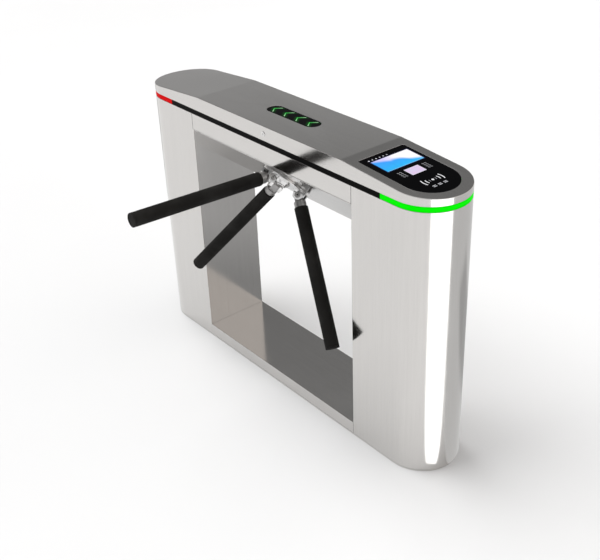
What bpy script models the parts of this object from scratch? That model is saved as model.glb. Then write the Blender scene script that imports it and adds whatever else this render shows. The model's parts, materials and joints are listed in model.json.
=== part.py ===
"""Tripod turnstile of the bridge type: a stainless cabinet with half-round ends, a hinged lid with
a reader panel, and a three-arm hub whose arms can drop. Metres, +Z up, origin on the floor under
the middle of the cabinet, +X towards the reader end, -Y towards the passage."""

import math

import bmesh
import bpy
from mathutils import Matrix, Vector
from mathutils.geometry import tessellate_polygon

GAP = 0.0003  # between pieces that touch
SHEET = 0.0015  # stainless sheet

# Cabinet
LENGTH = 1.400
WIDTH = 0.240
HALF_WIDTH = WIDTH / 2
ARC_X = LENGTH / 2 - HALF_WIDTH  # where the half-round ends begin
ARC_STEPS = 32  # facets in a half-round end
PILLAR_X = 0.395  # inner face of each pillar
BASE_TOP = 0.006
SILL_TOP = 0.048
BRIDGE_LOW = 0.824  # lower edge of the bridge at the passage side
STRIP_LOW = 0.883
STRIP_HIGH = 0.900
STRIP_DEEP = 0.008
LIGHT_X = 0.513  # where the coloured ends of the strip begin
FLANGE = 0.025  # inward flange at the top of pillars and panels
FRAME_OUT = 0.0112  # top frame, measured inwards from the cabinet's outline
FRAME_IN = 0.030
FRAME_TOP = STRIP_HIGH - 0.002
CONDUIT_X = 0.53
CONDUIT_R = 0.025
ANCHORS = [(x, y) for x in (-0.62, -0.44, 0.44, 0.62) for y in (-0.06, 0.06)]
ANCHOR_R = 0.007

# Lid
LID_LOW = STRIP_HIGH + GAP
LID_TOP = 0.9475
LID_TIP = 0.9207  # height of the top face at the far ends of the slopes
FOLD_X = 0.353
WINDOW_HALF = 0.118  # chevron window, half length and half width
WINDOW_R = 0.028
PANEL_X = 0.3893  # straight edge of the reader panel
PANEL_ARC_X = 0.5755
PANEL_R = 0.089
PANEL_CORNER = 0.008
GLASS = 0.003
HINGE_HALF = 0.260
HINGE_Y = 0.1232
HINGE_Z = 0.9000
KNUCKLE_R = 0.0026
KNUCKLE_BORE = 0.0015
HINGE_PIN_R = 0.0012
KNUCKLES = 6
LEAF = 0.0012  # thickness of the hinge leaves
LEAF_Y = 0.0915  # front edge of the leaf on the top frame
LEAF_Z = 0.9260  # upper edge of the leaf on the lid
LOCK_Z = 0.9225
LOCK_R = 0.0060
LOCK_HEAD_R = 0.0075
LOCK_DEEP = 0.022
PLUG_R = 0.0037
CAM_HALF = 0.0040  # the lock's cam, half its width
CAM_REACH = 0.0165

# Housings on the inside of the rear panel: first and last x, and depth
CONTROLLER = (0.19, 0.36, 0.034)
SUPPLY = (-0.36, -0.20, 0.042)
HOUSING_LOW = 0.735
HOUSING_HIGH = 0.845

# Hub axis, square to the slanted underside of the bridge
SLANT = math.radians(46.6)  # slope of the underside
FLAT_FROM = 0.036  # y at which the slope gives way to a flat underside
FLAT_LOW = BRIDGE_LOW - (FLAT_FROM + HALF_WIDTH) * math.tan(SLANT)
HUB_Y = -0.0465
HUB_Z = BRIDGE_LOW - (HUB_Y + HALF_WIDTH) * math.tan(SLANT)
HUB_R = 0.082
HUB_FACE = 0.0083
HUB_BOSS = 0.0180  # height of the boss in the middle of the hub
SHAFT_R = 0.0122
BORE_R = 0.0125

# Arms, measured along each arm from the point inside the hub where the three meet
ARM_TILT = math.radians(45.35)
APEX = 0.0447  # depth of that point behind the underside
PIN_AT = 0.095
SLEEVE_AT = 0.131
ARM_TIP = 0.589
TUBE_R = 0.019
TUBE_BORE = 0.017
SLEEVE_R = 0.022
PIN_R = 0.006
EAR_R = 0.0150
EAR_IN = 0.0120
EAR_OUT = 0.0220
TONGUE_R = 0.0130
COLLAR_AT = 0.0175

# Mechanism, in the hub's frame: +z points out of the underside
BRACKET_X = 0.160
BRACKET_Y = 0.075
BACK_Z = -0.0886  # inner face of the back plate
CAM_Z = (-0.1000, -0.0920)
WHEEL_Z = (-0.1180, -0.1100)
WHEEL_R = 0.045
NOTCH = 0.008
DISC_Z = (-0.1335, -0.1320)
SHAFT_HOLE_R = 0.030  # in the sheets that the shaft passes through
BEARING_R = 0.0260
BEARING_LONG = 0.015
STUD_R = 0.0042
PAWL_PIVOT = (0.062, 0.046)
PLUNGER_Y = -0.013
LEVER_PIVOT = (-0.060, -0.055)
LEVER_Z = (-0.1050, -0.1003)
ROLLER_Y = -0.0578
ROLLER_R = 0.009


def clear_scene():
    for obj in list(bpy.data.objects):
        bpy.data.objects.remove(obj, do_unlink=True)


def material(name, colour, metallic, roughness):
    made = bpy.data.materials.new(name)
    made.use_nodes = True
    shader = made.node_tree.nodes["Principled BSDF"]
    shader.inputs["Base Color"].default_value = (*colour, 1.0)
    shader.inputs["Metallic"].default_value = metallic
    shader.inputs["Roughness"].default_value = roughness
    return made


FINISHES = {
    "stainless": ((0.62, 0.61, 0.60), 1.0, 0.28),
    "steel": ((0.45, 0.45, 0.46), 1.0, 0.40),
    "zinc": ((0.55, 0.56, 0.58), 0.9, 0.45),
    "chrome": ((0.80, 0.80, 0.82), 1.0, 0.08),
    "foam": ((0.014, 0.013, 0.012), 0.0, 0.85),
    "black_trim": ((0.006, 0.006, 0.006), 0.0, 0.30),
    "green_light": ((0.0, 0.9, 0.0), 0.0, 0.40),
    "red_light": ((0.85, 0.01, 0.01), 0.0, 0.40),
    "black_glass": ((0.004, 0.004, 0.005), 0.0, 0.05),
    "board": ((0.01, 0.12, 0.04), 0.0, 0.50),
    "module": ((0.03, 0.03, 0.035), 0.0, 0.50),
    "brass": ((0.70, 0.50, 0.20), 1.0, 0.30),
}


def empty(name, place, turn=(0.0, 0.0, 0.0), parent=None):
    made = bpy.data.objects.new(name, None)
    made.location = place
    made.rotation_euler = turn
    made.parent = parent
    bpy.context.scene.collection.objects.link(made)
    return made


def finish(name, bm, look, parent=None):
    """Turns a bmesh into a shaded object with its own material, under its parent."""
    bmesh.ops.remove_doubles(bm, verts=bm.verts, dist=1e-6)
    bmesh.ops.recalc_face_normals(bm, faces=bm.faces)
    mesh = bpy.data.meshes.new(name)
    bm.to_mesh(mesh)
    bm.free()
    mesh.shade_smooth()
    mesh.set_sharp_from_angle(angle=math.radians(30))
    obj = bpy.data.objects.new(name, mesh)
    mesh.materials.append(material(name + "_" + look, *FINISHES[look]))
    bpy.context.scene.collection.objects.link(obj)
    obj.parent = parent
    return obj


def combine(obj, operation, bm, parent=None):
    """Joins a bmesh to an object, or cuts it out, with an exact Boolean."""
    tool = finish(f"{obj.name}.tool{len(obj.modifiers)}", bm, "steel", parent)
    tool.hide_render = True
    tool.display_type = "WIRE"
    boolean = obj.modifiers.new(operation.lower(), "BOOLEAN")
    boolean.operation = operation
    boolean.solver = "EXACT"
    boolean.object = tool


# Outlines are lists of (x, y), anticlockwise.


def arc(cx, cy, r, first, last, steps):
    """Points on an arc from the first angle to the last, in degrees, both ends included."""
    angles = [math.radians(first + (last - first) * i / steps) for i in range(steps + 1)]
    return [(cx + r * math.cos(a), cy + r * math.sin(a)) for a in angles]


def circle(cx, cy, r, steps=24):
    return arc(cx, cy, r, 0, 360, steps)[:-1]


def rectangle(x0, x1, y0, y1):
    return [(x0, y0), (x1, y0), (x1, y1), (x0, y1)]


def stadium(inset=0.0, stops=()):
    """The cabinet's outline moved inwards. stops are x values that get a point on each side."""
    y = HALF_WIDTH - inset
    right = arc(ARC_X, 0, y, -90, 90, ARC_STEPS)
    left = arc(-ARC_X, 0, y, 90, 270, ARC_STEPS)
    front = [(x, -y) for x in sorted(stops)]
    rear = [(x, y) for x in sorted(stops, reverse=True)]
    return front + right + rear + left


def end_half(inset, x_in, side):
    """One half-round end of the cabinet's outline, closed by a straight line at x_in."""
    y = HALF_WIDTH - inset
    points = [(x_in, -y)] + arc(ARC_X, 0, y, -90, 90, ARC_STEPS) + [(x_in, y)]
    return points if side > 0 else [(-x, y) for x, y in reversed(points)]


def faces_between(loops):
    """Faces that fill an outline and leave out its holes, as indices into the joined loops."""
    if len(loops) == 1:
        return [range(len(loops[0]))]
    return tessellate_polygon([[Vector((x, y, 0)) for x, y in loop] for loop in loops])


def plate(outer, low, high, holes=(), place=lambda x, y, z: (x, y, z)):
    """A closed solid between two heights. place maps each (x, y, height) into space."""
    bm = bmesh.new()
    loops = [outer, *holes]
    flat = [p for loop in loops for p in loop]
    lower = [bm.verts.new(place(x, y, low)) for x, y in flat]
    upper = [bm.verts.new(place(x, y, high)) for x, y in flat]
    for corners in faces_between(loops):
        bm.faces.new([lower[i] for i in corners])
        bm.faces.new([upper[i] for i in corners])
    start = 0
    for loop in loops:
        for i in range(len(loop)):
            a, b = start + i, start + (i + 1) % len(loop)
            bm.faces.new((lower[a], lower[b], upper[b], upper[a]))
        start += len(loop)
    return bm


def along_x(y, z, x):
    """Places an outline drawn in the YZ plane."""
    return (x, y, z)


def along_y(x, z, y):
    """Places an outline drawn in the XZ plane."""
    return (x, y, z)


def turned(profile, steps=28, place=Matrix()):
    """A closed solid of revolution about Z. The profile is a closed list of (radius, height)."""
    bm = bmesh.new()
    rings = []
    for r, z in profile:
        if r < 1e-7:
            rings.append([bm.verts.new(place @ Vector((0, 0, z)))] * steps)
            continue
        turns = [2 * math.pi * i / steps for i in range(steps)]
        points = [Vector((r * math.cos(a), r * math.sin(a), z)) for a in turns]
        rings.append([bm.verts.new(place @ p) for p in points])
    for ring, following in zip(rings, rings[1:] + rings[:1]):
        for i in range(steps):
            j = (i + 1) % steps
            corners = list(dict.fromkeys((ring[i], ring[j], following[j], following[i])))
            if len(corners) > 2:
                bm.faces.new(corners)
    return bm


def rod(r, low, high):
    return [(0, low), (r, low), (r, high), (0, high)]


def ring(inner, outer, low, high):
    return [(inner, low), (outer, low), (outer, high), (inner, high)]


def along(axis):
    """A matrix that turns +Z to the given axis, X or Y."""
    return {"X": Matrix.Rotation(math.pi / 2, 4, "Y"), "Y": Matrix.Rotation(-math.pi / 2, 4, "X")}[axis]


def moved(x, y, z):
    return Matrix.Translation((x, y, z))


# Cabinet


def lid_top(x):
    return LID_TOP - max(0.0, abs(x) - FOLD_X) * (LID_TOP - LID_TIP) / (LENGTH / 2 - FOLD_X)


def base():
    holes = [circle(x, y, ANCHOR_R, 16) for x, y in ANCHORS]
    holes += [circle(x, 0, CONDUIT_R) for x in (-CONDUIT_X, CONDUIT_X)]
    finish("base_plate", plate(stadium(), 0.0, BASE_TOP, holes), "steel")
    y, low = HALF_WIDTH, BASE_TOP + GAP
    channel = [(-y, low), (-y + SHEET, low), (-y + SHEET, SILL_TOP - SHEET)]
    channel += [(y - SHEET, SILL_TOP - SHEET), (y - SHEET, low), (y, low), (y, SILL_TOP), (-y, SILL_TOP)]
    x = PILLAR_X - GAP
    finish("base_sill", plate(channel, -x, x, place=along_x), "stainless")


def pillar(name, side):
    """A half-round post of sheet, open at the bottom, with an inward flange round its top."""
    low, high = BASE_TOP + GAP, STRIP_LOW - GAP
    bm = plate(end_half(0, PILLAR_X, side), low, high, [end_half(SHEET, PILLAR_X + SHEET, side)])
    post = finish(name, bm, "stainless")
    flange = end_half(SHEET / 2, PILLAR_X + SHEET / 2, side)
    opening = end_half(FLANGE, PILLAR_X + FLANGE, side)
    combine(post, "UNION", plate(flange, high - SHEET, high, [opening]))


def bridge():
    x, y, high = PILLAR_X - GAP, HALF_WIDTH, STRIP_LOW - GAP
    rise = SHEET / math.cos(SLANT)  # the slanted sheet's height where a vertical line crosses it
    for name, side, low in (("front", -1, BRIDGE_LOW + rise), ("rear", 1, FLAT_LOW + SHEET)):
        low += GAP
        outline = [(y, low), (y, high), (y - FLANGE, high), (y - FLANGE, high - SHEET)]
        outline += [(y - SHEET, high - SHEET), (y - SHEET, low)]
        outline = [(side * a, b) for a, b in outline]
        finish(f"bridge_{name}_panel", plate(outline, -x, x, place=along_x), "stainless")
    inside = FLAT_FROM + (rise - SHEET) / math.tan(SLANT)
    outline = [(-y, BRIDGE_LOW), (FLAT_FROM, FLAT_LOW), (y, FLAT_LOW), (y, FLAT_LOW + SHEET)]
    outline += [(inside, FLAT_LOW + SHEET), (-y, BRIDGE_LOW + rise)]
    under = finish("bridge_slant_panel", plate(outline, -x, x, place=along_x), "stainless")
    combine(under, "DIFFERENCE", turned(rod(SHAFT_HOLE_R, -0.02, 0.02)), hub_frame())


def top_frame():
    outer, inner = stadium(FRAME_OUT), stadium(FRAME_IN)
    finish("top_frame", plate(outer, STRIP_LOW + GAP, FRAME_TOP, [inner]), "zinc")


def strips():
    x, low, high = LIGHT_X - GAP, STRIP_LOW + GAP, STRIP_HIGH - GAP
    front = rectangle(-x, x, low, high)
    recess = HINGE_HALF + 0.002
    floor = FRAME_TOP - GAP
    rear = [(-x, low), (x, low), (x, high), (recess, high), (recess, floor)]
    rear += [(-recess, floor), (-recess, high), (-x, high)]
    y0, y1 = HALF_WIDTH - STRIP_DEEP, HALF_WIDTH
    finish("trim_strip_front", plate(front, -y1, -y0, place=along_y), "black_trim")
    finish("trim_strip_rear", plate(rear, y0, y1, place=along_y), "black_trim")
    for name, side in (("green", 1), ("red", -1)):
        outer, inner = end_half(0, LIGHT_X, side), end_half(STRIP_DEEP, LIGHT_X, side)
        band = outer + inner[::-1]
        finish(f"light_guide_{name}", plate(band, low, high), f"{name}_light")


def knuckle_spans(first):
    """Every second length of the hinge, starting with the first or the second."""
    step = 2 * HINGE_HALF / KNUCKLES
    starts = [-HINGE_HALF + step * i for i in range(first, KNUCKLES, 2)]
    return [(x + GAP / 2, x + step - GAP / 2) for x in starts]


def comb(near, far, tips, spans):
    """The outline of a hinge leaf: a plate from far to near, with teeth out to tips."""
    points = [(-HINGE_HALF, far), (-HINGE_HALF, near)]
    for x0, x1 in spans:
        a, b = x0 + GAP, x1 - GAP
        points += [(a, near), (a, tips), (b, tips), (b, near)]
    points += [(HINGE_HALF, near), (HINGE_HALF, far)]
    return points


def hinge(lid):
    clear = GAP + KNUCKLE_R
    tips = HINGE_Y - KNUCKLE_BORE - GAP  # the teeth end inside the knuckles' walls
    frame_leaf = comb(HINGE_Y - clear, LEAF_Y, tips, knuckle_spans(0))
    low, inner = FRAME_TOP + GAP, HALF_WIDTH + GAP
    leaf = finish("hinge_frame_leaf", plate(frame_leaf, low, low + LEAF), "stainless")
    lid_leaf = comb(HINGE_Z + clear, LEAF_Z, HINGE_Z + 2 * GAP, knuckle_spans(1))
    bm = plate(lid_leaf, inner, inner + LEAF - GAP / 2, place=along_y)
    flap = finish("hinge_lid_leaf", bm, "stainless")
    for obj, first in ((leaf, 0), (flap, 1)):
        for x0, x1 in knuckle_spans(first):
            place = moved(0, HINGE_Y, HINGE_Z) @ along("X")
            combine(obj, "UNION", turned(ring(KNUCKLE_BORE, KNUCKLE_R, x0, x1), 14, place))
    reset_origin(flap, lid)
    place = moved(0, HINGE_Y, HINGE_Z) @ along("X")
    finish("hinge_pin", turned(rod(HINGE_PIN_R, -HINGE_HALF, HINGE_HALF), 12, place), "steel")


def reset_origin(obj, parent):
    """Hangs an object drawn in world coordinates on an empty that isn't turned."""
    obj.parent = parent
    obj.location = -parent.location
    for modifier in obj.modifiers:
        modifier.object.location = -parent.location
        modifier.object.parent = parent


def lid_shell(lid):
    """Folded sheet: a top with two slopes and two windows, and a band round its edge."""
    stops = (-FOLD_X, FOLD_X)
    window = chevron_window(0)
    reader = panel_outline(0)
    bm = bmesh.new()
    edges = []
    for inset, drop in ((0.0, 0.0), (SHEET, SHEET)):
        outline = stadium(inset, stops)
        parts = [
            ([p for p in outline if p[0] >= FOLD_X], [reader]),
            ([p for p in outline if abs(p[0]) <= FOLD_X], [window]),
            ([p for p in outline if p[0] <= -FOLD_X], []),
        ]
        parts[1] = (sorted_corners(parts[1][0]), parts[1][1])
        for outer, holes in parts:
            cap(bm, [outer, *holes], lambda x, y, d=drop: lid_top(x) - d)
        edges.append(outline)
        wall(bm, outline, lambda x: LID_LOW, lambda x, d=drop: lid_top(x) - d)
    for loop in (window, reader):
        wall(bm, loop, lambda x: lid_top(x) - SHEET, lid_top)
    rim(bm, edges[0], edges[1], LID_LOW)
    shell = finish("lid_shell", bm, "stainless")
    keyway = moved(0, -HALF_WIDTH, LOCK_Z) @ along("Y")
    combine(shell, "DIFFERENCE", turned(rod(LOCK_R + GAP, -0.004, 0.004), 24, keyway))
    reset_origin(shell, lid)


def sorted_corners(points):
    """Puts the four corners of a rectangle in anticlockwise order."""
    return sorted(points, key=lambda p: math.atan2(p[1], p[0]))


def cap(bm, loops, height):
    points = [p for loop in loops for p in loop]
    corners = [bm.verts.new((x, y, height(x, y))) for x, y in points]
    for face in faces_between(loops):
        bm.faces.new([corners[i] for i in face])


def wall(bm, loop, low, high):
    lower = [bm.verts.new((x, y, low(x))) for x, y in loop]
    upper = [bm.verts.new((x, y, high(x))) for x, y in loop]
    for i in range(len(loop)):
        bm.faces.new((lower[i - 1], lower[i], upper[i], upper[i - 1]))


def rim(bm, outer, inner, z):
    first = [bm.verts.new((x, y, z)) for x, y in outer]
    second = [bm.verts.new((x, y, z)) for x, y in inner]
    for i in range(len(outer)):
        bm.faces.new((first[i - 1], first[i], second[i], second[i - 1]))


def chevron_window(inset):
    r, x = WINDOW_R - inset, WINDOW_HALF - WINDOW_R
    return arc(x, 0, r, -90, 90, 16) + arc(-x, 0, r, 90, 270, 16)


def panel_outline(inset):
    """The D of the reader panel: a straight edge with small corners, and a half-round end."""
    r, x, c = PANEL_R - inset, PANEL_X + inset, PANEL_CORNER
    points = arc(x + c, -r + c, c, 180, 270, 4) + arc(PANEL_ARC_X, 0, r, -90, 90, 24)
    return points + arc(x + c, r - c, c, 90, 180, 4)


def draped(outline, top, depth):
    """A plate that follows the lid's slope, from top below the lid's face to top plus depth."""
    return plate(outline, -top - depth, -top, place=lambda x, y, z: (x, y, lid_top(x) + z))


def lid_contents(lid):
    pieces = {
        "indicator_lens": (chevron_window(GAP), 0.0, GLASS, "black_glass"),
        "indicator_board": (rectangle(-0.100, 0.100, -0.024, 0.024), GLASS + GAP, 0.0016, "board"),
        "reader_glass": (panel_outline(GAP), 0.0, GLASS, "black_glass"),
        "display_module": (rectangle(0.408, 0.496, -0.079, 0.079), GLASS + GAP, 0.008, "module"),
        "scanner_module": (rectangle(0.501, 0.547, -0.032, 0.032), GLASS + GAP, 0.020, "module"),
        "card_reader_board": (rectangle(0.552, 0.628, -0.045, 0.045), GLASS + GAP, 0.0016, "board"),
    }
    for name, (outline, top, depth, look) in pieces.items():
        obj = finish(name, draped(outline, top, depth), look)
        reset_origin(obj, lid)


def lock(lid):
    """Barrel in the lid's front band, and a cam that turns from pointing down to under the strike."""
    y, bore = -HALF_WIDTH, PLUG_R + GAP
    profile = [(bore, -0.0016), (LOCK_HEAD_R, -0.0016), (LOCK_HEAD_R, -GAP), (LOCK_R, -GAP)]
    profile += [(LOCK_R, LOCK_DEEP), (bore, LOCK_DEEP)]
    place = moved(0, y, LOCK_Z) @ along("Y")
    barrel = finish("lock_barrel", turned(profile, 24, place), "chrome")
    reset_origin(barrel, lid)
    turn = empty("lock_axis", (0, y - HINGE_Y, LOCK_Z - HINGE_Z), parent=lid)
    back = LOCK_DEEP + 0.0005
    cam = finish("lock_cam", turned(rod(PLUG_R, -0.0012, back + 0.002), 20, along("Y")), "chrome", turn)
    tongue = rectangle(-CAM_HALF, CAM_HALF, -CAM_REACH, CAM_HALF)
    combine(cam, "UNION", plate(tongue, back, back + 0.0018, place=along_y), turn)
    leg, lip = CAM_REACH + 0.0035, LOCK_Z + CAM_HALF + 0.0025
    low, high = FRAME_TOP + GAP, lip + 0.003
    hook = [(-leg - 0.004, low), (-leg, low), (-leg, lip), (-CAM_HALF - 0.0045, lip)]
    hook += [(-CAM_HALF - 0.0045, high), (-leg - 0.004, high)]
    cam_y = y + back
    strike = plate(hook, cam_y - 0.0025, cam_y + 0.0030, place=along_y)
    finish("lock_strike", strike, "zinc")


def boxes():
    """Housings bolted to the inside of the rear panel, one on each side of the mechanism."""
    inside = HALF_WIDTH - SHEET - GAP
    housings = (("controller_box", CONTROLLER, "module"), ("power_supply", SUPPLY, "zinc"))
    for name, (x0, x1, depth), look in housings:
        outline = rectangle(x0, x1, inside - depth, inside)
        box = finish(name, plate(outline, HOUSING_LOW, HOUSING_HIGH), look)
        bevel = box.modifiers.new("bevel", "BEVEL")
        bevel.width = 0.002
        bevel.segments = 2


# Hub and mechanism, drawn in the hub's frame


def hub_frame():
    return bpy.data.objects["hub_axis"]


def mechanism_frame(axis):
    x, y, wall_x = BRACKET_X, BRACKET_Y, BRACKET_X - 0.006
    low, high, foot = BACK_Z + 0.003 + GAP, -SHEET - GAP, -SHEET - GAP - 0.006
    channel = [(-x, low), (-wall_x, low), (-wall_x, foot), (wall_x, foot)]
    channel += [(wall_x, low), (x, low), (x, high), (-x, high)]
    bracket = finish("mechanism_bracket", plate(channel, -y, y, place=along_y), "zinc", axis)
    combine(bracket, "DIFFERENCE", turned(rod(SHAFT_HOLE_R, -0.02, 0.01)), axis)
    studs = [pawl_point(side, PAWL_PIVOT) for side in (1, -1)] + [LEVER_PIVOT]
    holes = [circle(0, 0, SHAFT_HOLE_R, 32)] + [circle(*p, STUD_R + GAP, 16) for p in studs]
    back = plate(rectangle(-x, x, -y, y), BACK_Z, BACK_Z + 0.003, holes)
    finish("mechanism_back_plate", back, "zinc", axis)
    flange, end = foot - GAP, BACK_Z + 0.008
    seat, barrel_r, flange_r = BEARING_R + GAP, 0.036, 0.055
    profile = [(seat, end), (barrel_r, end), (barrel_r, flange - 0.006)]
    profile += [(flange_r, flange - 0.006), (flange_r, flange), (seat, flange)]
    finish("bearing_housing", turned(profile), "steel", axis)
    for name, z in (("front_bearing", flange - 0.003 - BEARING_LONG), ("rear_bearing", end + 0.002)):
        finish(name, turned(ring(BORE_R, BEARING_R, z, z + BEARING_LONG)), "steel", axis)


def pawl_point(side, point):
    return (side * point[0], point[1])


def lobed(phase):
    """The index cam's outline: three shallow lobes."""
    angles = [2 * math.pi * i / 48 for i in range(48)]
    reach = [0.044 + 0.004 * math.cos(3 * a + phase) for a in angles]
    return [(r * math.cos(a), r * math.sin(a)) for r, a in zip(reach, angles)]


def notched():
    """The lock wheel's outline: six notches, one every 60 degrees."""
    half = math.radians(10)
    points = []
    for k in range(6):
        mid = math.radians(60 * k)
        for a, r in ((mid - half, WHEEL_R), (mid - half * 0.8, WHEEL_R - NOTCH)):
            points.append((r * math.cos(a), r * math.sin(a)))
        for a, r in ((mid + half * 0.8, WHEEL_R - NOTCH), (mid + half, WHEEL_R)):
            points.append((r * math.cos(a), r * math.sin(a)))
        rim_arc = arc(0, 0, WHEEL_R, 60 * k + 10, 60 * k + 50, 6)
        points += rim_arc[1:-1]
    return points


def slotted_holes():
    """Twelve windows near the encoder disc's rim, for counting."""
    holes = []
    for k in range(12):
        first = 30 * k
        outer = arc(0, 0, 0.0325, first, first + 12, 3)
        holes.append(outer + arc(0, 0, 0.0275, first + 12, first, 3))
    return holes


def rotor(axis):
    """Everything that turns with the hub, apart from the arms."""
    shaft = [(0, -0.142), (0.0105, -0.142), (SHAFT_R, -0.1405), (SHAFT_R, 0.0120), (0, 0.0120)]
    finish("main_shaft", turned(shaft), "steel", axis)
    bore = circle(0, 0, BORE_R, 32)
    finish("index_cam", plate(lobed(0), *CAM_Z, [bore]), "steel", axis)
    finish("lock_wheel", plate(notched(), *WHEEL_Z, [bore]), "steel", axis)
    disc = plate(circle(0, 0, 0.0350, 48), *DISC_Z, [bore, *slotted_holes()])
    finish("encoder_disc", disc, "black_trim", axis)
    face, edge = HUB_FACE, 0.0015
    profile = [(BORE_R, GAP), (HUB_R - edge, GAP), (HUB_R, GAP + edge), (HUB_R, face - edge)]
    profile += [(HUB_R - edge, face), (0.0240, face), (0.0200, HUB_BOSS), (BORE_R, HUB_BOSS)]
    hub = finish("arm_hub", turned(profile, 48), "chrome", axis)
    for k in range(3):
        for side in (-1, 1):
            combine(hub, "UNION", ear(k, side), axis)
    base_z = HUB_BOSS + GAP
    profile = [(0, 0.0125), (0.0120, 0.0125), (0.0120, base_z), (0.0160, base_z)]
    profile += [(0.0160, HUB_BOSS + 0.0030), (0.0140, HUB_BOSS + 0.0048), (0, HUB_BOSS + 0.0055)]
    finish("hub_cap", turned(profile), "chrome", axis)


def arm_turn(k):
    """Angle of an arm round the hub, from the top, towards +X."""
    return math.radians((0, -120, 120)[k])


def pin_place():
    """Radius and height of every arm's pin in the hub's frame."""
    reach = PIN_AT * math.sin(ARM_TILT)
    return reach, PIN_AT * math.cos(ARM_TILT) - APEX


def ear(k, side):
    """One cheek of an arm's fork."""
    reach, height = pin_place()
    outline = [(reach - EAR_R, HUB_FACE - 0.004), (reach + EAR_R, HUB_FACE - 0.004)]
    outline += arc(reach, height, EAR_R, 0, 180, 14)
    spin = Matrix.Rotation(-arm_turn(k), 4, "Z")

    def place(y, z, x):
        return spin @ Vector((x, y, z))

    low, high = sorted((side * EAR_IN, side * EAR_OUT))
    hole = circle(reach, height, PIN_R + GAP, 20)
    return plate(outline, low, high, [hole], place)


def arm(axis, k):
    name = f"arm_{k + 1}"
    reach, height = pin_place()
    turn = arm_turn(k)
    place = (reach * math.sin(turn), reach * math.cos(turn), height)
    fold = empty(name + "_pivot", place, (-ARM_TILT, 0, -turn), axis)
    head, end = -EAR_OUT - GAP, EAR_OUT + 0.0020
    profile = [(0, head - 0.003), (0.0080, head - 0.003), (0.0090, head - 0.002), (0.0090, head)]
    profile += [(PIN_R, head), (PIN_R, end - 0.001), (PIN_R - 0.001, end), (0, end)]
    finish(name + "_hinge_pin", turned(profile, 20, along("X")), "steel", fold)

    tip = ARM_TIP - PIN_AT
    tube_end = tip - 0.006
    bar_profile = [(0, COLLAR_AT), (TUBE_R - 0.001, COLLAR_AT), (TUBE_R, COLLAR_AT + 0.001)]
    bar_profile += [(TUBE_R, tube_end), (TUBE_BORE, tube_end), (TUBE_BORE, 0.030), (0, 0.030)]
    bar = finish(name + "_bar", turned(bar_profile), "chrome", fold)
    tongue = [(-TONGUE_R, COLLAR_AT + 0.003)] + arc(0, 0, TONGUE_R, 180, 360, 16)
    tongue += [(TONGUE_R, COLLAR_AT + 0.003)]
    half = EAR_IN - GAP

    def upright(y, z, x):
        return (x, y, z)

    root = plate(tongue, -half, half, [circle(0, 0, PIN_R + GAP, 20)], upright)
    combine(bar, "UNION", root, fold)

    start, stop, edge = SLEEVE_AT - PIN_AT, tube_end - 0.0003, 0.003
    bore = TUBE_R + GAP
    profile = [(bore, start), (SLEEVE_R - edge + 0.0005, start), (SLEEVE_R - 0.0009, start + 0.0009)]
    profile += [(SLEEVE_R, start + edge), (SLEEVE_R, stop), (bore, stop)]
    finish(name + "_sleeve", turned(profile), "foam", fold)
    plug = TUBE_BORE - GAP
    profile = [(0, tube_end - 0.018), (plug, tube_end - 0.018), (plug, tube_end + GAP)]
    profile += [(SLEEVE_R, tube_end + GAP), (SLEEVE_R, tip - edge), (SLEEVE_R - 0.0009, tip - 0.0009)]
    profile += [(SLEEVE_R - edge, tip), (0, tip)]
    finish(name + "_end_cap", turned(profile), "foam", fold)


def pawl(axis, name, side):
    """A hammer-shaped lever: its nose enters the lock wheel, its tail sits in the plunger's fork."""
    px, py = PAWL_PIVOT
    pivot = empty(f"pawl_axis_{name}", (side * px, py, 0), parent=axis)
    nose = WHEEL_R + 0.0028
    half, tip = 0.0045, PLUNGER_Y - 0.0045
    lever = [(nose, 0.0025), (nose, -0.0045), (px - half, -0.0065), (px - 0.002, -0.0080)]
    lever += arc(px, tip + 0.002, 0.002, 180, 360, 6) + [(px + 0.002, -0.0080), (px + half, -0.0065)]
    lever += arc(px, py, 0.009, -40, 220, 12) + [(px - half, 0.0060)]
    outline = [((x - px) * side, y - py) for x, y in lever]
    obj = finish(f"lock_pawl_{name}", plate(outline, *WHEEL_Z), "steel", pivot)
    stud = turned(rod(STUD_R, WHEEL_Z[1] - 0.004, BACK_Z + 0.0025), 16)
    combine(obj, "UNION", stud, pivot)


def solenoid(axis, name, side):
    """A box solenoid on the back plate, with a plunger that slides out towards the lock wheel."""
    y, z = PLUNGER_Y, (WHEEL_Z[0] + WHEEL_Z[1]) / 2
    px = PAWL_PIVOT[0]
    low, high = sorted((side * 0.098, side * 0.136))
    bm = plate(rectangle(y - 0.013, y + 0.013, z - 0.013, BACK_Z - GAP), low, high, place=along_x)
    body = finish(f"solenoid_{name}", bm, "brass", axis)
    bore = moved(0, y, z) @ along("X")
    combine(body, "DIFFERENCE", turned(rod(0.0046, low - 0.01, high + 0.01), 20, bore), axis)
    slide = empty(f"plunger_axis_{name}", (0, y, z), parent=axis)
    ends = sorted((side * (px + 0.0050), side * 0.134))
    obj = finish(f"plunger_{name}", turned(rod(0.0042, *ends), 20, along("X")), "steel", slide)
    fork, slot = ("UNION", 0.006, 0.005, 0.0078), ("DIFFERENCE", 0.0035, 0.006, 0.0044)
    for operation, half, width, height in (fork, slot):
        x0, x1 = sorted((side * (px - half), side * (px + half)))
        combine(obj, operation, plate(rectangle(x0, x1, -width, width), -height, height), slide)


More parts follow.
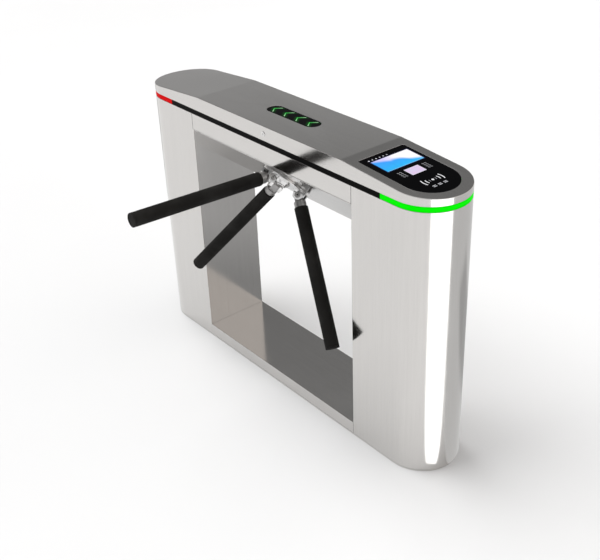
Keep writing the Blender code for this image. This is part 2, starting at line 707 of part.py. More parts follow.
def centring(axis):
    """The sprung lever that draws the hub to its three stations."""
    px, py = LEVER_PIVOT
    pivot = empty("lever_axis", (px, py, 0), parent=axis)
    y = ROLLER_Y - py
    bar = arc(0, 0, 0.009, 90, 270, 10) + [(-px + 0.010, y - 0.007), (-px + 0.010, y + 0.006)]
    lever = finish("centring_lever", plate(bar, *LEVER_Z), "steel", pivot)
    stud = turned(rod(STUD_R, LEVER_Z[1] - 0.002, BACK_Z + 0.0025), 16)
    combine(lever, "UNION", stud, pivot)
    peg = moved(-px, y, 0)
    combine(lever, "UNION", turned(rod(0.003, LEVER_Z[1] - 0.002, CAM_Z[1] - 0.0005), 16, peg), pivot)
    roller = turned(ring(0.0033, ROLLER_R, CAM_Z[0] + GAP, CAM_Z[1]), 24, peg)
    finish("centring_roller", roller, "steel", pivot)

    coil = bpy.data.curves.new("centring_spring", "CURVE")
    coil.dimensions = "3D"
    coil.bevel_depth = 0.0007
    coil.bevel_resolution = 1
    coil.use_fill_caps = True
    spline = coil.splines.new("POLY")
    turns, per_turn, r = 4, 14, 0.0062
    low, high = LEVER_Z[1] + 0.0012, BACK_Z - 0.0012
    count = turns * per_turn
    spline.points.add(count)
    for i, point in enumerate(spline.points):
        a = 2 * math.pi * i / per_turn
        point.co = (r * math.cos(a), r * math.sin(a), low + (high - low) * i / count, 1)
    coil.materials.append(material("centring_spring_steel", *FINISHES["steel"]))
    obj = bpy.data.objects.new("centring_spring", coil)
    obj.location = (px, py, 0)
    obj.parent = axis
    bpy.context.scene.collection.objects.link(obj)


def encoder_sensor(axis):
    """A forked light gate round the encoder disc's rim, on a foot from the back plate."""
    low, high = DISC_Z[0] - 0.006, BACK_Z - GAP
    slot_low, slot_high, shoulder = DISC_Z[0] - 0.001, DISC_Z[1] + 0.001, DISC_Z[1] + 0.0035
    inner, slot_end, foot, outer = 0.0250, 0.0380, 0.0500, 0.0560
    gate = [(inner, low), (outer, low), (outer, high), (foot, high), (foot, shoulder)]
    gate += [(inner, shoulder), (inner, slot_high), (slot_end, slot_high)]
    gate += [(slot_end, slot_low), (inner, slot_low)]

    def place(y, z, x):
        return (x, y, z)

    finish("encoder_sensor", plate(gate, -0.006, 0.006, place=place), "module", axis)


def build():
    clear_scene()
    axis = empty("hub_axis", (0, HUB_Y, HUB_Z), (math.pi - SLANT, 0, 0))
    lid = empty("lid_axis", (0, HINGE_Y, HINGE_Z))
    base()
    pillar("pillar_reader_end", 1)
    pillar("pillar_far_end", -1)
    bridge()
    top_frame()
    strips()
    hinge(lid)
    lid_shell(lid)
    lid_contents(lid)
    lock(lid)
    boxes()
    mechanism_frame(axis)
    rotor(axis)
    for k in range(3):
        arm(axis, k)
    for name, side in (("reader_side", 1), ("far_side", -1)):
        pawl(axis, name, side)
        solenoid(axis, name, side)
    centring(axis)
    encoder_sensor(axis)


build()
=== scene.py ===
"""The looks of a bridge-type tripod turnstile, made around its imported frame. Metres, +Z up,
+X towards the reader end, -Y towards the passage. Lengths come from the frame where it has them."""

import json
import math

import bmesh
import bpy
from mathutils import Matrix, Vector
from mathutils.geometry import tessellate_polygon

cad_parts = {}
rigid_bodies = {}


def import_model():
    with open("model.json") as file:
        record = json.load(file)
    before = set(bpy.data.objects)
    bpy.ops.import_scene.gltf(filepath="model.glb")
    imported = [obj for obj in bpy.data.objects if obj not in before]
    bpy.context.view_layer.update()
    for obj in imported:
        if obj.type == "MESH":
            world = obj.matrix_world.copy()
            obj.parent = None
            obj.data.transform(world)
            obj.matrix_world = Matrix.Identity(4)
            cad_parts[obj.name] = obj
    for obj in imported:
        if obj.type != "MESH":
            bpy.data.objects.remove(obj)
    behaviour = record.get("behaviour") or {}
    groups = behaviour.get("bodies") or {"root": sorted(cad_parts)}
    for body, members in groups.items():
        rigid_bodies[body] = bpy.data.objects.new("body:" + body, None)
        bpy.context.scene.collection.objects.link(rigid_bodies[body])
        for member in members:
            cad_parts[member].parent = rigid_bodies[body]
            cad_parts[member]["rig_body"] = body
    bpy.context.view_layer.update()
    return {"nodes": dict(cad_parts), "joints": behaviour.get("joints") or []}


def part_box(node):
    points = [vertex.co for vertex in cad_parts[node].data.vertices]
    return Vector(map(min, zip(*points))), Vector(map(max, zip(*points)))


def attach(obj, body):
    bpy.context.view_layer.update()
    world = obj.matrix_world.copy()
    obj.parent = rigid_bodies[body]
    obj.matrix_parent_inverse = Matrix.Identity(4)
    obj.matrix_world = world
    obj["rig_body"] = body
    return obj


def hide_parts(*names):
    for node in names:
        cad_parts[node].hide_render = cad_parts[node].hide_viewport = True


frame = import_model()

GAP = 0.0003  # between pieces that meet, as in the CAD
SHEET = 0.0015  # stainless sheet
ARC_STEPS = 96  # in a half-round end
FOLD_X = 0.353  # where the lid's slopes begin
FOLD_HALF = 0.006  # half the width of each bend
LID_TIP = 0.9207  # height of the lid at its far ends
LID_EDGE = 0.0013  # radius of the lid's upper edge
SEAM_R = 0.0022  # radius of the pillars' vertical edges
FLANGE = 0.025  # width of the flange round a post's top
GLASS = 0.003  # thickness of both panes
WINDOW_HALF, WINDOW_R = 0.118, 0.028  # the direction window's half length and end radius
PANEL_X, PANEL_ARC_X, PANEL_R = 0.3893, 0.5755, 0.089  # the reader window's straight edge and arc
PANEL_CORNER = 0.008  # radius of the two corners of its straight edge

(LOW_X, _, LID_LOW), (HIGH_X, HALF_WIDTH, LID_TOP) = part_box("lid_shell")
ARC_X = HIGH_X - HALF_WIDTH
JOINTS = {j["name"]: j for j in frame["joints"]}
LOCK = JOINTS["lock_turn"]["pos_m"]
LOCK_TURN = Matrix.Translation(LOCK) @ Matrix.Rotation(-math.pi / 2, 4, "X")
HUB, HUB_AXIS = JOINTS["hub_spin"]["pos_m"], JOINTS["hub_spin"]["axis"]
HUB_TURN = Matrix.Translation(HUB) @ Matrix.Rotation(math.atan2(-HUB_AXIS[1], HUB_AXIS[2]), 4, "X")
ARM_TILT = math.radians(45.35)  # from the hub's axis
ARM_TURNS = (0, -120, 120)  # degrees round the hub, from the top
ARM_PINS = [JOINTS[f"arm_{k + 1}_drop"]["pos_m"] for k in range(3)]
PIN_R, EYE_R = 0.006, 0.0063  # radii of the arms' pins, and of the holes that they go through


# Outlines are lists of (x, y), anticlockwise.


def arc(cx, cy, r, first, last, steps):
    angles = [math.radians(first + (last - first) * i / steps) for i in range(steps + 1)]
    return [(cx + r * math.cos(a), cy + r * math.sin(a)) for a in angles]


def circle(cx, cy, r, steps=32):
    return arc(cx, cy, r, 0, 360, steps)[:-1]


def eased(corners, cut, steps=3):
    """A closed outline whose corners are small curves. A corner may carry its own cut."""
    made = []
    befores, afters = corners[-1:] + corners[:-1], corners[1:] + corners[:1]
    for before, corner, after in zip(befores, corners, afters):
        size = corner[2] if len(corner) > 2 else cut
        here = Vector(corner[:2])
        start, end = (here + (Vector(p[:2]) - here).normalized() * size for p in (before, after))
        for i in range(steps + 1):
            t = i / steps
            made.append(tuple(start.lerp(here, t).lerp(here.lerp(end, t), t)))
    return made


def rectangle(x0, x1, y0, y1, cut=0.0005):
    return eased([(x0, y0), (x1, y0), (x1, y1), (x0, y1)], cut)


def stroke(path, half, steps=6):
    """The outline of a line of some width, with round ends."""
    points = [Vector(p) for p in path]
    sides = ([], [])
    for i, p in enumerate(points):
        before, after = points[max(i - 1, 0)], points[min(i + 1, len(points) - 1)]
        into = (p - before).normalized() if i else (after - p).normalized()
        out = (after - p).normalized() if i < len(points) - 1 else into
        mean = (into + out).normalized()
        reach = half / max(mean.dot(into), 0.3)
        across = Vector((-mean.y, mean.x)) * reach
        sides[0].append(tuple(p - across))
        sides[1].append(tuple(p + across))
    ends = (points[0] - points[1], points[-1] - points[-2])
    first, last = (math.degrees(math.atan2(d.y, d.x)) for d in ends)
    end = arc(*points[-1], half, last - 90, last + 90, steps)[1:-1]
    start = arc(*points[0], half, first - 90, first + 90, steps)[1:-1]
    return sides[0] + end + sides[1][::-1] + start


def stadium(inset, stops=()):
    """The cabinet's outline moved inwards. stops are x values that get a point on each side."""
    y = HALF_WIDTH - inset
    front = [(x, -y) for x in sorted(stops)]
    return (front + arc(ARC_X, 0, y, -90, 90, ARC_STEPS) + [(x, -b) for x, b in front[::-1]]
            + arc(-ARC_X, 0, y, 90, 270, ARC_STEPS))


def half_end(inset, x_in, side):
    """One half-round end of the cabinet's outline, closed by a straight line at x_in."""
    y, c, x = HALF_WIDTH - inset, max(SEAM_R - inset, 0.0002), x_in + inset
    points = arc(x + c, c - y, c, 180, 270, 4) + arc(ARC_X, 0, y, -90, 90, ARC_STEPS)
    points += arc(x + c, y - c, c, 90, 180, 4)
    return points if side > 0 else [(-a, b) for a, b in reversed(points)]


def lid_top(x):
    """Height of the lid's face, with a bend of FOLD_HALF each way round each fold."""
    slope = (LID_TOP - LID_TIP) / (HIGH_X - FOLD_X)
    past = abs(x) - FOLD_X
    if abs(past) < FOLD_HALF:
        return LID_TOP - slope * (past + FOLD_HALF) ** 2 / (4 * FOLD_HALF)
    return LID_TOP - slope * max(0.0, past)


# Meshes


def skin(bm, rings, loop=False):
    """Joins rings of points with faces. loop joins the last ring to the first."""
    made = [[bm.verts.new(p) for p in ring] for ring in rings]
    for a, b in zip(made, made[1:] + (made[:1] if loop else [])):
        for i in range(len(a)):
            bm.faces.new((a[i - 1], a[i], b[i], b[i - 1]))
    return made


def solid(rings):
    """A closed solid through rings of points, with a flat face at each end."""
    bm = bmesh.new()
    made = skin(bm, rings)
    bm.faces.new(made[0])
    bm.faces.new(made[-1])
    return bm


def turned(profile, steps=48, place=Matrix()):
    """A solid of revolution about Z. The profile is a list of (radius, height), from axis to axis
    or closed."""
    bm = bmesh.new()
    turns = [2 * math.pi * i / steps for i in range(steps)]
    rings = [[place @ Vector((r * math.cos(a), r * math.sin(a), z)) for a in turns] for r, z in profile]
    skin(bm, rings, loop=profile[0][0] > 0)
    return bm


def plate(outer, low, high, holes=(), place=lambda x, y, z: (x, y, z)):
    """A closed solid between two heights. place maps each (x, y, height) into space."""
    bm = bmesh.new()
    loops = [outer, *holes]
    for loop in loops:
        skin(bm, [[place(x, y, z) for x, y in loop] for z in (low, high)])
    for z in (low, high):
        cap(bm, loops, lambda x, y, z=z: place(x, y, z))
    return bm


def cap(bm, loops, place):
    """A flat face with holes."""
    corners = [bm.verts.new(place(x, y)) for loop in loops for x, y in loop]
    for face in tessellate_polygon([[Vector((x, y, 0)) for x, y in loop] for loop in loops]):
        bm.faces.new([corners[i] for i in face])


def swept(outline, section):
    """Carries a closed section of (inset, z) round an outline(inset)."""
    bm = bmesh.new()
    skin(bm, [[(x, y, z) for x, y in outline(inset)] for inset, z in section], loop=True)
    return bm


def mesh_object(name, bm):
    bmesh.ops.remove_doubles(bm, verts=bm.verts, dist=2e-6)
    bmesh.ops.recalc_face_normals(bm, faces=bm.faces)
    mesh = bpy.data.meshes.new(name)
    bm.to_mesh(mesh)
    bm.free()
    mesh.shade_smooth()
    mesh.set_sharp_from_angle(angle=math.radians(50))
    obj = bpy.data.objects.new(name, mesh)
    bpy.context.scene.collection.objects.link(obj)
    return obj


def bevelled(obj, width, segments):
    """Rounds the edges where faces meet at more than 40 degrees."""
    bevel = obj.modifiers.new("edges", "BEVEL")
    bevel.width = width
    bevel.segments = segments
    bevel.limit_method = "ANGLE"
    bevel.angle_limit = math.radians(40)
    return obj


def combine(obj, operation, tool, body):
    """Joins a hidden tool to an object, or cuts it out. The tool rides on the object's body."""
    tool.hide_render = True
    tool.display_type = "WIRE"
    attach(tool, body)
    boolean = obj.modifiers.new(operation.lower(), "BOOLEAN")
    boolean.operation = operation
    boolean.object = tool


def piece(obj, look, body="root", replaces=(), evenly=True):
    """Gives an object its material and body, and even shading over its flat faces."""
    obj.data.materials.clear()
    obj.data.materials.append(look)
    if evenly:
        obj.modifiers.new("shading", "WEIGHTED_NORMAL").keep_sharp = True
    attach(obj, body)
    if replaces:
        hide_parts(*replaces)
    return obj


def refined(node, width, look, segments=2):
    """A copy of a CAD node with its flat faces joined and its edges rounded."""
    bm = bmesh.new()
    bm.from_mesh(frame["nodes"][node].data)
    bmesh.ops.remove_doubles(bm, verts=bm.verts, dist=5e-6)
    bmesh.ops.dissolve_limit(bm, angle_limit=math.radians(0.5), verts=bm.verts, edges=bm.edges)
    obj = mesh_object(node + "_finished", bm)
    if width:
        bevelled(obj, width, segments)
    return piece(obj, look, frame["nodes"][node]["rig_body"], (node,))


# Materials


class Nodes:
    """Shader nodes written as calls that return sockets."""

    def __init__(self, tree, coordinates):
        self.tree = tree
        self.place = self.add("ShaderNodeTexCoord").outputs[coordinates]

    def add(self, kind, inputs=(), **settings):
        node = self.tree.nodes.new(kind)
        for key, value in settings.items():
            setattr(node, key, value)
        for key, value in dict(inputs).items():
            self.plug(value, node.inputs[key])
        return node

    def plug(self, value, socket):
        if isinstance(value, bpy.types.NodeSocket):
            self.tree.links.new(value, socket)
        else:
            socket.default_value = value

    def math(self, operation, *values):
        return self.add("ShaderNodeMath", enumerate(values), operation=operation).outputs[0]

    def stretched(self, x, y, z):
        return self.add("ShaderNodeMapping", {"Vector": self.place, "Scale": (x, y, z)}).outputs[0]

    def noise(self, scale, detail=2.0, place=None):
        inputs = {"Vector": place or self.place, "Scale": scale, "Detail": detail}
        return self.add("ShaderNodeTexNoise", inputs).outputs["Fac"]

    def cells(self, scale):
        inputs = {"Vector": self.place, "Scale": scale}
        return self.add("ShaderNodeTexVoronoi", inputs).outputs["Distance"]

    def span(self, value, low, high, to_low=0.0, to_high=1.0, smooth=False):
        """Carries a value from one range to another, and holds it there."""
        node = self.add("ShaderNodeMapRange", enumerate((value, low, high, to_low, to_high)))
        node.interpolation_type = "SMOOTHSTEP" if smooth else "LINEAR"
        return node.outputs[0]

    def mixed(self, share, a, b):
        node = self.add("ShaderNodeMix", {0: share}, data_type="RGBA")
        for value, socket in ((a, node.inputs[6]), (b, node.inputs[7])):
            self.plug((*value, 1.0) if isinstance(value, tuple) else value, socket)
        return node.outputs[2]

    def bump(self, height, depth, strength, normal=None):
        inputs = {"Height": height, "Distance": depth, "Strength": strength}
        if normal:
            inputs["Normal"] = normal
        return self.add("ShaderNodeBump", inputs).outputs["Normal"]

    def axes(self):
        split = self.add("ShaderNodeSeparateXYZ", {"Vector": self.place})
        return split.outputs[0], split.outputs[1], split.outputs[2]


class Look(Nodes):
    """A Principled material, patterned in object coordinates."""

    def __init__(self, name):
        self.material = bpy.data.materials.new(name)
        self.material.use_nodes = True
        self.shader = self.material.node_tree.nodes["Principled BSDF"]
        super().__init__(self.material.node_tree, "Object")

    def done(self, **inputs):
        """Sets the shader's inputs; an underscore in a name stands for a space."""
        for key, value in inputs.items():
            value = (*value, 1.0) if isinstance(value, tuple) else value
            self.plug(value, self.shader.inputs[key.replace("_", " ")])
        return self.material


def scaled(colour, share):
    return tuple(c * share for c in colour)


def brushed(name, colour, roughness, direction, depth=0.00001):
    """Sheet or bar with fine straight grain along an axis, and faint handling marks."""
    look = Look(name)
    fine, long = 1600.0, 16.0
    grain = look.noise(1.0, 2.0, look.stretched(*(long if a == direction else fine for a in "XYZ")))
    broad = look.noise(1.0, 1.0, look.stretched(*(3.0 if a == direction else 240.0 for a in "XYZ")))
    marks = look.noise(5.0, 3.0)
    tone = look.math("ADD", look.math("MULTIPLY", grain, 0.6), look.math("MULTIPLY", broad, 0.4))
    shade = look.mixed(look.span(tone, 0.3, 0.7), scaled(colour, 0.95), scaled(colour, 1.04))
    rough = look.span(grain, 0.3, 0.7, roughness - 0.03, roughness + 0.03)
    rough = look.math("ADD", rough, look.span(marks, 0.45, 0.75, 0.0, 0.05, True))
    return look.done(
        Base_Color=shade, Metallic=1.0, Roughness=rough, Normal=look.bump(grain, depth, 0.5)
    )


def machined(name, colour, roughness):
    """Turned or milled steel with a thin film of oil."""
    look = Look(name)
    lines = look.noise(2600.0, 1.0)
    film = look.noise(60.0, 4.0)
    shade = look.mixed(look.span(film, 0.35, 0.7), colour, scaled(colour, 0.72))
    rough = look.span(film, 0.3, 0.7, roughness - 0.06, roughness + 0.08)
    return look.done(
        Base_Color=shade, Metallic=1.0, Roughness=rough, Normal=look.bump(lines, 0.00002, 0.4)
    )


def zinc_plated():
    """Zinc with the faint blue and straw bloom of passivation."""
    look = Look("zinc_plate")
    bloom = look.mixed(look.span(look.noise(9.0, 3.0), 0.35, 0.65), (0.55, 0.57, 0.62), (0.60, 0.57, 0.47))
    spangle = look.cells(260.0)
    shade = look.mixed(look.span(spangle, 0.1, 0.8, 0.0, 0.25), bloom, (0.36, 0.37, 0.38))
    rough = look.span(look.noise(45.0, 4.0), 0.3, 0.7, 0.34, 0.5)
    normal = look.bump(spangle, 0.00004, 0.3)
    return look.done(Base_Color=shade, Metallic=0.95, Roughness=rough, Normal=normal)


def chromed():
    """Polished chrome over a casting, so its reflections waver a little."""
    look = Look("chrome")
    waver = look.noise(38.0, 2.0)
    specks = look.noise(900.0, 2.0)
    shade = look.mixed(look.span(specks, 0.4, 0.8), (0.78, 0.775, 0.77), (0.68, 0.675, 0.67))
    rough = look.span(look.noise(24.0, 4.0), 0.35, 0.7, 0.06, 0.16)
    return look.done(Base_Color=shade, Metallic=1.0, Roughness=rough, Normal=look.bump(waver, 0.0009, 0.35))


def foam():
    """Closed-cell rubber foam: a matt skin with fine pores and rubbed places."""
    look = Look("foam")
    pores = look.cells(1150.0)
    lumps = look.noise(300.0, 3.0)
    rubbed = look.noise(14.0, 3.0)
    skin_tone = look.mixed(look.span(rubbed, 0.45, 0.75), (0.0112, 0.0105, 0.0097), (0.0165, 0.0155, 0.0143))
    # The colour is darkened where the bump makes pits: painted shade in the pores.
    shade = look.mixed(look.span(pores, 0.0, 0.35, 0.7, 0.0), skin_tone, (0.0035, 0.0034, 0.0033))
    rough = look.span(rubbed, 0.4, 0.7, 0.88, 0.66)
    normal = look.bump(pores, 0.0004, 0.55, look.bump(lumps, 0.0006, 0.5))
    return look.done(Base_Color=shade, Roughness=rough, Normal=normal, Specular_IOR_Level=0.12)


def moulded(name, colour, roughness, specular=0.4):
    """Moulded plastic with a fine spark-eroded grain."""
    look = Look(name)
    grain = look.noise(1400.0, 3.0)
    cloud = look.noise(26.0, 3.0)
    shade = look.mixed(look.span(cloud, 0.35, 0.7), colour, scaled(colour, 1.5))
    rough = look.span(grain, 0.3, 0.7, roughness - 0.05, roughness + 0.07)
    return look.done(
        Base_Color=shade, Roughness=rough, Normal=look.bump(grain, 0.00006, 0.5), Specular_IOR_Level=specular
    )


def light_guide(name, colour, low, high):
    """A diffuser lit from behind: bright along its middle, a shade deeper at its edges."""
    look = Look(name)
    up = look.span(look.axes()[2], low, high, -1.0, 1.0)
    edge = look.math("POWER", look.math("ABSOLUTE", up), 6.0)
    spots = look.span(look.noise(30.0, 1.0), 0.3, 0.7, 0.94, 1.0)
    level = look.math("MULTIPLY", look.span(edge, 0.0, 1.0, 1.0, 0.55), spots)
    return look.done(
        Base_Color=scaled(colour, 0.04),
        Roughness=look.span(look.noise(700.0), 0.3, 0.7, 0.4, 0.5),
        Specular_IOR_Level=0.02,
        Emission_Color=colour,
        Emission_Strength=level,
    )


def black_glass(name, glow=None):
    """Back-painted glass with faint smears. glow(look) gives light from under it."""
    look = Look(name)
    smear = look.noise(1.0, 4.0, look.stretched(30.0, 12.0, 30.0))
    rough = look.span(smear, 0.4, 0.75, 0.04, 0.13)
    tint = look.mixed(smear, (0.0016, 0.0016, 0.0019), (0.0026, 0.0026, 0.0029))
    extra = glow(look) if glow else {}
    return look.done(Base_Color=tint, Roughness=rough, Specular_IOR_Level=0.014, **extra)


def lamp(name, colour, strength, tone=None):
    """A lit mark under the glass."""
    look = Look(name)
    grain = look.noise(900.0, 1.0)
    level = look.span(grain, 0.3, 0.7, 0.92 * strength, 1.04 * strength)
    lit = look.mixed(look.span(look.noise(60.0), 0.35, 0.65), colour, tone or scaled(colour, 0.94))
    return look.done(
        Base_Color=scaled(colour, 0.05),
        Roughness=0.3,
        Specular_IOR_Level=0.1,
        Emission_Color=lit,
        Emission_Strength=level,
    )


def circuit_board():
    """Green solder mask with copper tracks and tinned pads."""
    look = Look("board")
    x, y, _ = look.axes()
    tracks = []
    for along, across, pitch in ((x, y, 430.0), (y, x, 390.0)):
        bend = look.math("MULTIPLY", look.noise(55.0, 0.0), 5.0)
        line = look.math("FRACT", look.math("ADD", look.math("MULTIPLY", across, pitch), bend))
        tracks.append(look.span(line, 0.12, 0.2, 1.0, 0.0))
    which = look.span(look.cells(70.0), 0.3, 0.34)
    track = look.math("ADD", look.math("MULTIPLY", tracks[0], which),
                      look.math("MULTIPLY", tracks[1], look.math("SUBTRACT", 1.0, which)))
    pads = look.span(look.cells(330.0), 0.16, 0.2, 1.0, 0.0)
    mask = look.mixed(track, (0.008, 0.075, 0.022), (0.022, 0.17, 0.05))
    shade = look.mixed(pads, mask, (0.62, 0.60, 0.55))
    return look.done(
        Base_Color=shade,
        Metallic=pads,
        Roughness=look.span(pads, 0.0, 1.0, 0.34, 0.28),
        Normal=look.bump(track, 0.00004, 0.6),
    )


def coil_wire():
    """Lacquered copper wire wound in close turns."""
    look = Look("coil_wire")
    wave = look.add("ShaderNodeTexWave", {"Vector": look.place, "Scale": 560.0, "Distortion": 0.3})
    wave.bands_direction = "X"
    turns = wave.outputs["Fac"]
    # Darker between the turns: painted shade in the grooves between them.
    shade = look.mixed(turns, (0.10, 0.025, 0.008), (0.62, 0.23, 0.08))
    return look.done(Base_Color=shade, Metallic=0.9, Roughness=0.32, Normal=look.bump(turns, 0.0003, 0.8))


STAINLESS = (0.650, 0.636, 0.620)
LOOKS = {
    "side": brushed("stainless_side", STAINLESS, 0.115, "X"),
    "post": brushed("stainless_post", STAINLESS, 0.125, "Z"),
    "lid": brushed("stainless_lid", STAINLESS, 0.135, "X"),
    "neck": brushed("stainless_neck", (0.34, 0.335, 0.33), 0.34, "Z"),
    "steel": machined("machined_steel", (0.50, 0.49, 0.48), 0.30),
    "dark_steel": machined("hardened_steel", (0.30, 0.29, 0.29), 0.34),
    "zinc": zinc_plated(),
    "chrome": chromed(),
    "foam": foam(),
    "trim": moulded("black_trim", (0.0022, 0.0021, 0.0020), 0.36, 0.025),
    # Dark, for the strips of painted shade in the seams between the bridge's panels and the pillars.
    "sealant": moulded("sealant", (0.030, 0.029, 0.028), 0.62, 0.1),
    "module": moulded("module_plastic", (0.020, 0.020, 0.022), 0.46),
    "connector": moulded("connector_plastic", (0.52, 0.49, 0.42), 0.42),
    "chip": moulded("chip_resin", (0.012, 0.012, 0.013), 0.55),
    "board": circuit_board(),
    "coil": coil_wire(),
}


# Cabinet


def end_piece(node):
    """Bottom, top and inner end (as a distance from the middle) of a piece at one end."""
    low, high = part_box(node)
    return low.z, high.z, min(abs(low.x), abs(high.x))


def pillar(node, side):
    """A folded post: a fine rounded outline, an inward flange round its top, open at the bottom."""
    low, high, x_in = end_piece(node)
    r = 0.0010  # of its upper edge
    section = [(0.0, low), (0.0, high - r), (r * 0.3, high - r * 0.3), (r, high), (FLANGE, high)]
    section += [(FLANGE, high - SHEET), (SHEET, high - SHEET), (SHEET, low)]
    bm = swept(lambda inset: half_end(inset, x_in, side), section)
    piece(mesh_object(node + "_post", bm), LOOKS["post"], replaces=(node,))


def rail(path, section):
    """Carries a closed section of (inset, z) along an open path(inset), with flat ends."""
    bm = bmesh.new()
    grid = [[bm.verts.new((x, y, z)) for x, y in path(inset)] for inset, z in section]
    for a, b in zip(grid, grid[1:] + grid[:1]):
        for i in range(len(a) - 1):
            bm.faces.new((a[i], a[i + 1], b[i + 1], b[i]))
    for end in (0, -1):
        bm.faces.new([line[end] for line in grid])
    return bm


def light_ends():
    """A light guide round each end of the cabinet."""
    depth, edge = 0.008, 0.0007  # how far a guide reaches in, and its rounding
    ends = (("light_guide_green", 1, (0.0, 0.92, 0.0)), ("light_guide_red", -1, (0.67, 0.001, 0.002)))
    for node, side, colour in ends:
        low, high, x_in = end_piece(node)

        def path(inset):
            y = HALF_WIDTH - inset
            points = [(x_in, -y)] + arc(ARC_X, 0, y, -90, 90, ARC_STEPS) + [(x_in, y)]
            return [(x * side, y) for x, y in points]

        section = eased([(0.0, low), (0.0, high), (depth, high), (depth, low)], edge)
        obj = mesh_object(node + "_diffuser", rail(path, section))
        piece(obj, light_guide(node, colour, low, high), replaces=(node,))


def painted_seam_shades():
    """Dark strips, a little below the face, where the bridge's panels meet the pillars: painted shade in the
    seams.
    """
    face, back = HALF_WIDTH - 0.00025, HALF_WIDTH - 0.0018  # the strip's outer and inner side
    for node, where, side_y in (("bridge_front_panel", "front", -1), ("bridge_rear_panel", "rear", 1)):
        low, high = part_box(node)
        seam = high.x + GAP / 2
        corners = [(seam - 0.0011, face), (seam + 0.0018, face), (seam + 0.0006, back), (seam - 0.0005, back)]
        for end, side_x in (("reader_end", 1), ("far_end", -1)):
            outline = [(x * side_x, y * side_y) for x, y in corners]
            shade_strip = mesh_object(f"painted_seam_shade_{where}_{end}", plate(outline, low.z + 0.001, high.z - 0.0005))
            piece(shade_strip, LOOKS["sealant"])


def cabinet():
    pillar("pillar_reader_end", 1)
    pillar("pillar_far_end", -1)
    light_ends()
    for node in ("trim_strip_front", "trim_strip_rear"):
        refined(node, 0.0005, LOOKS["trim"], 3)
    for node in ("bridge_front_panel", "bridge_rear_panel", "bridge_slant_panel"):
        refined(node, 0.0011, LOOKS["side"])
    painted_seam_shades()
    refined("base_sill", 0.0007, LOOKS["side"], 3)
    refined("base_plate", 0.0010, LOOKS["side"])
    refined("top_frame", 0.0006, LOOKS["zinc"])


# Lid


def chevron_window(inset):
    x, r = WINDOW_HALF - WINDOW_R, WINDOW_R - inset
    return arc(x, 0, r, -90, 90, 24) + arc(-x, 0, r, 90, 270, 24)


def reader_window(inset):
    """A D: a straight edge with small corners, and a half-round end."""
    r, x, c = PANEL_R - inset, PANEL_X + inset, max(PANEL_CORNER - inset, 0.001)
    return (arc(x + c, c - r, c, 180, 270, 6) + arc(PANEL_ARC_X, 0, r, -90, 90, 48)
            + arc(x + c, r - c, c, 90, 180, 6))


def lid_shell():
    """Folded sheet with two sloping ends and two windows, and a band round its edge."""
    stops = [side * (FOLD_X + step) for side in (-1, 1) for step in (-FOLD_HALF, 0.0, FOLD_HALF)]
    cuts = sorted([LOW_X, *stops, HIGH_X])
    windows = {3: chevron_window, 6: reader_window}  # by the slice between cuts that holds each

    def ring(inset, drop=None):
        points = stadium(inset, stops)
        return [(x, y, LID_LOW if drop is None else lid_top(x) - drop) for x, y in points]

    bend = [math.radians(90 * i / 4) for i in range(5)]
    edge = [ring(LID_EDGE * (1 - math.cos(a)), LID_EDGE * (1 - math.sin(a))) for a in bend]
    bm = bmesh.new()
    skin(bm, [ring(SHEET, SHEET), ring(SHEET), ring(0.0), *edge])
    for inset, drop, chamfer in ((LID_EDGE, 0.0, 0.0005), (SHEET, SHEET, 0.0)):
        outline = stadium(inset, stops)
        for i, (low, high) in enumerate(zip(cuts, cuts[1:])):
            part = [p for p in outline if low - 1e-6 <= p[0] <= high + 1e-6]
            middle = (low + high) / 2
            part.sort(key=lambda p: math.atan2(p[1], p[0] - middle))
            holes = [windows[i](-chamfer)] if i in windows else []
            cap(bm, [part, *holes], lambda x, y: (x, y, lid_top(x) - drop))
    for window in windows.values():
        lips = ((-0.0005, 0.0), (0.0, 0.0005), (0.0, SHEET))
        skin(bm, [[(x, y, lid_top(x) - drop) for x, y in window(inset)] for inset, drop in lips])
    shell = mesh_object("lid_shell_folded", bm)
    r, half = 0.0063, 0.004  # of the hole for the lock's barrel
    hole = turned([(0, -half), (r, -half), (r, half), (0, half)], 48, LOCK_TURN)
    combine(shell, "DIFFERENCE", mesh_object("lock_hole", hole), "lid")
    piece(shell, LOOKS["lid"], "lid", replaces=("lid_shell",))


def on_lid(outline, top, bottom):
    """A closed plate that follows the lid's face, between two depths under it."""
    return plate(outline, -bottom, -top, place=lambda x, y, z: (x, y, lid_top(x) + z))


def window_glass(node, name, outline, look, sink):
    """A pane with a small polished edge, sunk a little below the lid's face."""
    section = [(GAP, GLASS), (GAP, sink + 0.0003), (GAP + 0.0001, sink + 0.0001), (GAP + 0.0003, sink)]
    rings = [[(x, y, lid_top(x) - z) for x, y in outline(inset)] for inset, z in section]
    piece(mesh_object(name, solid(rings)), look, "lid", (node,))


CHEVRONS = [0.0573 * (i - 1.5) - 0.0097 for i in range(4)]  # x of each tip
CHEVRON_ARM = (0.0168, 0.0198)  # how far each arm reaches back from its tip, and out


def chevron_glow(look):
    """A dim green bloom round each chevron."""
    x, y, _ = look.axes()
    back = look.math("MULTIPLY", look.math("ABSOLUTE", y), CHEVRON_ARM[0] / CHEVRON_ARM[1])
    nearest = 1.0
    for tip in CHEVRONS:
        away = look.math("ABSOLUTE", look.math("SUBTRACT", x, look.math("ADD", back, tip)))
        nearest = look.math("MINIMUM", nearest, away)
    bloom = look.span(nearest, 0.0, 0.017, 1.0, 0.0, True)
    ends = look.span(look.math("ABSOLUTE", y), 0.018, 0.027, 1.0, 0.0, True)
    level = look.math("MULTIPLY", look.math("MULTIPLY", bloom, ends), 0.06)
    return {"Emission_Color": (0.0, 1.0, 0.06), "Emission_Strength": level}


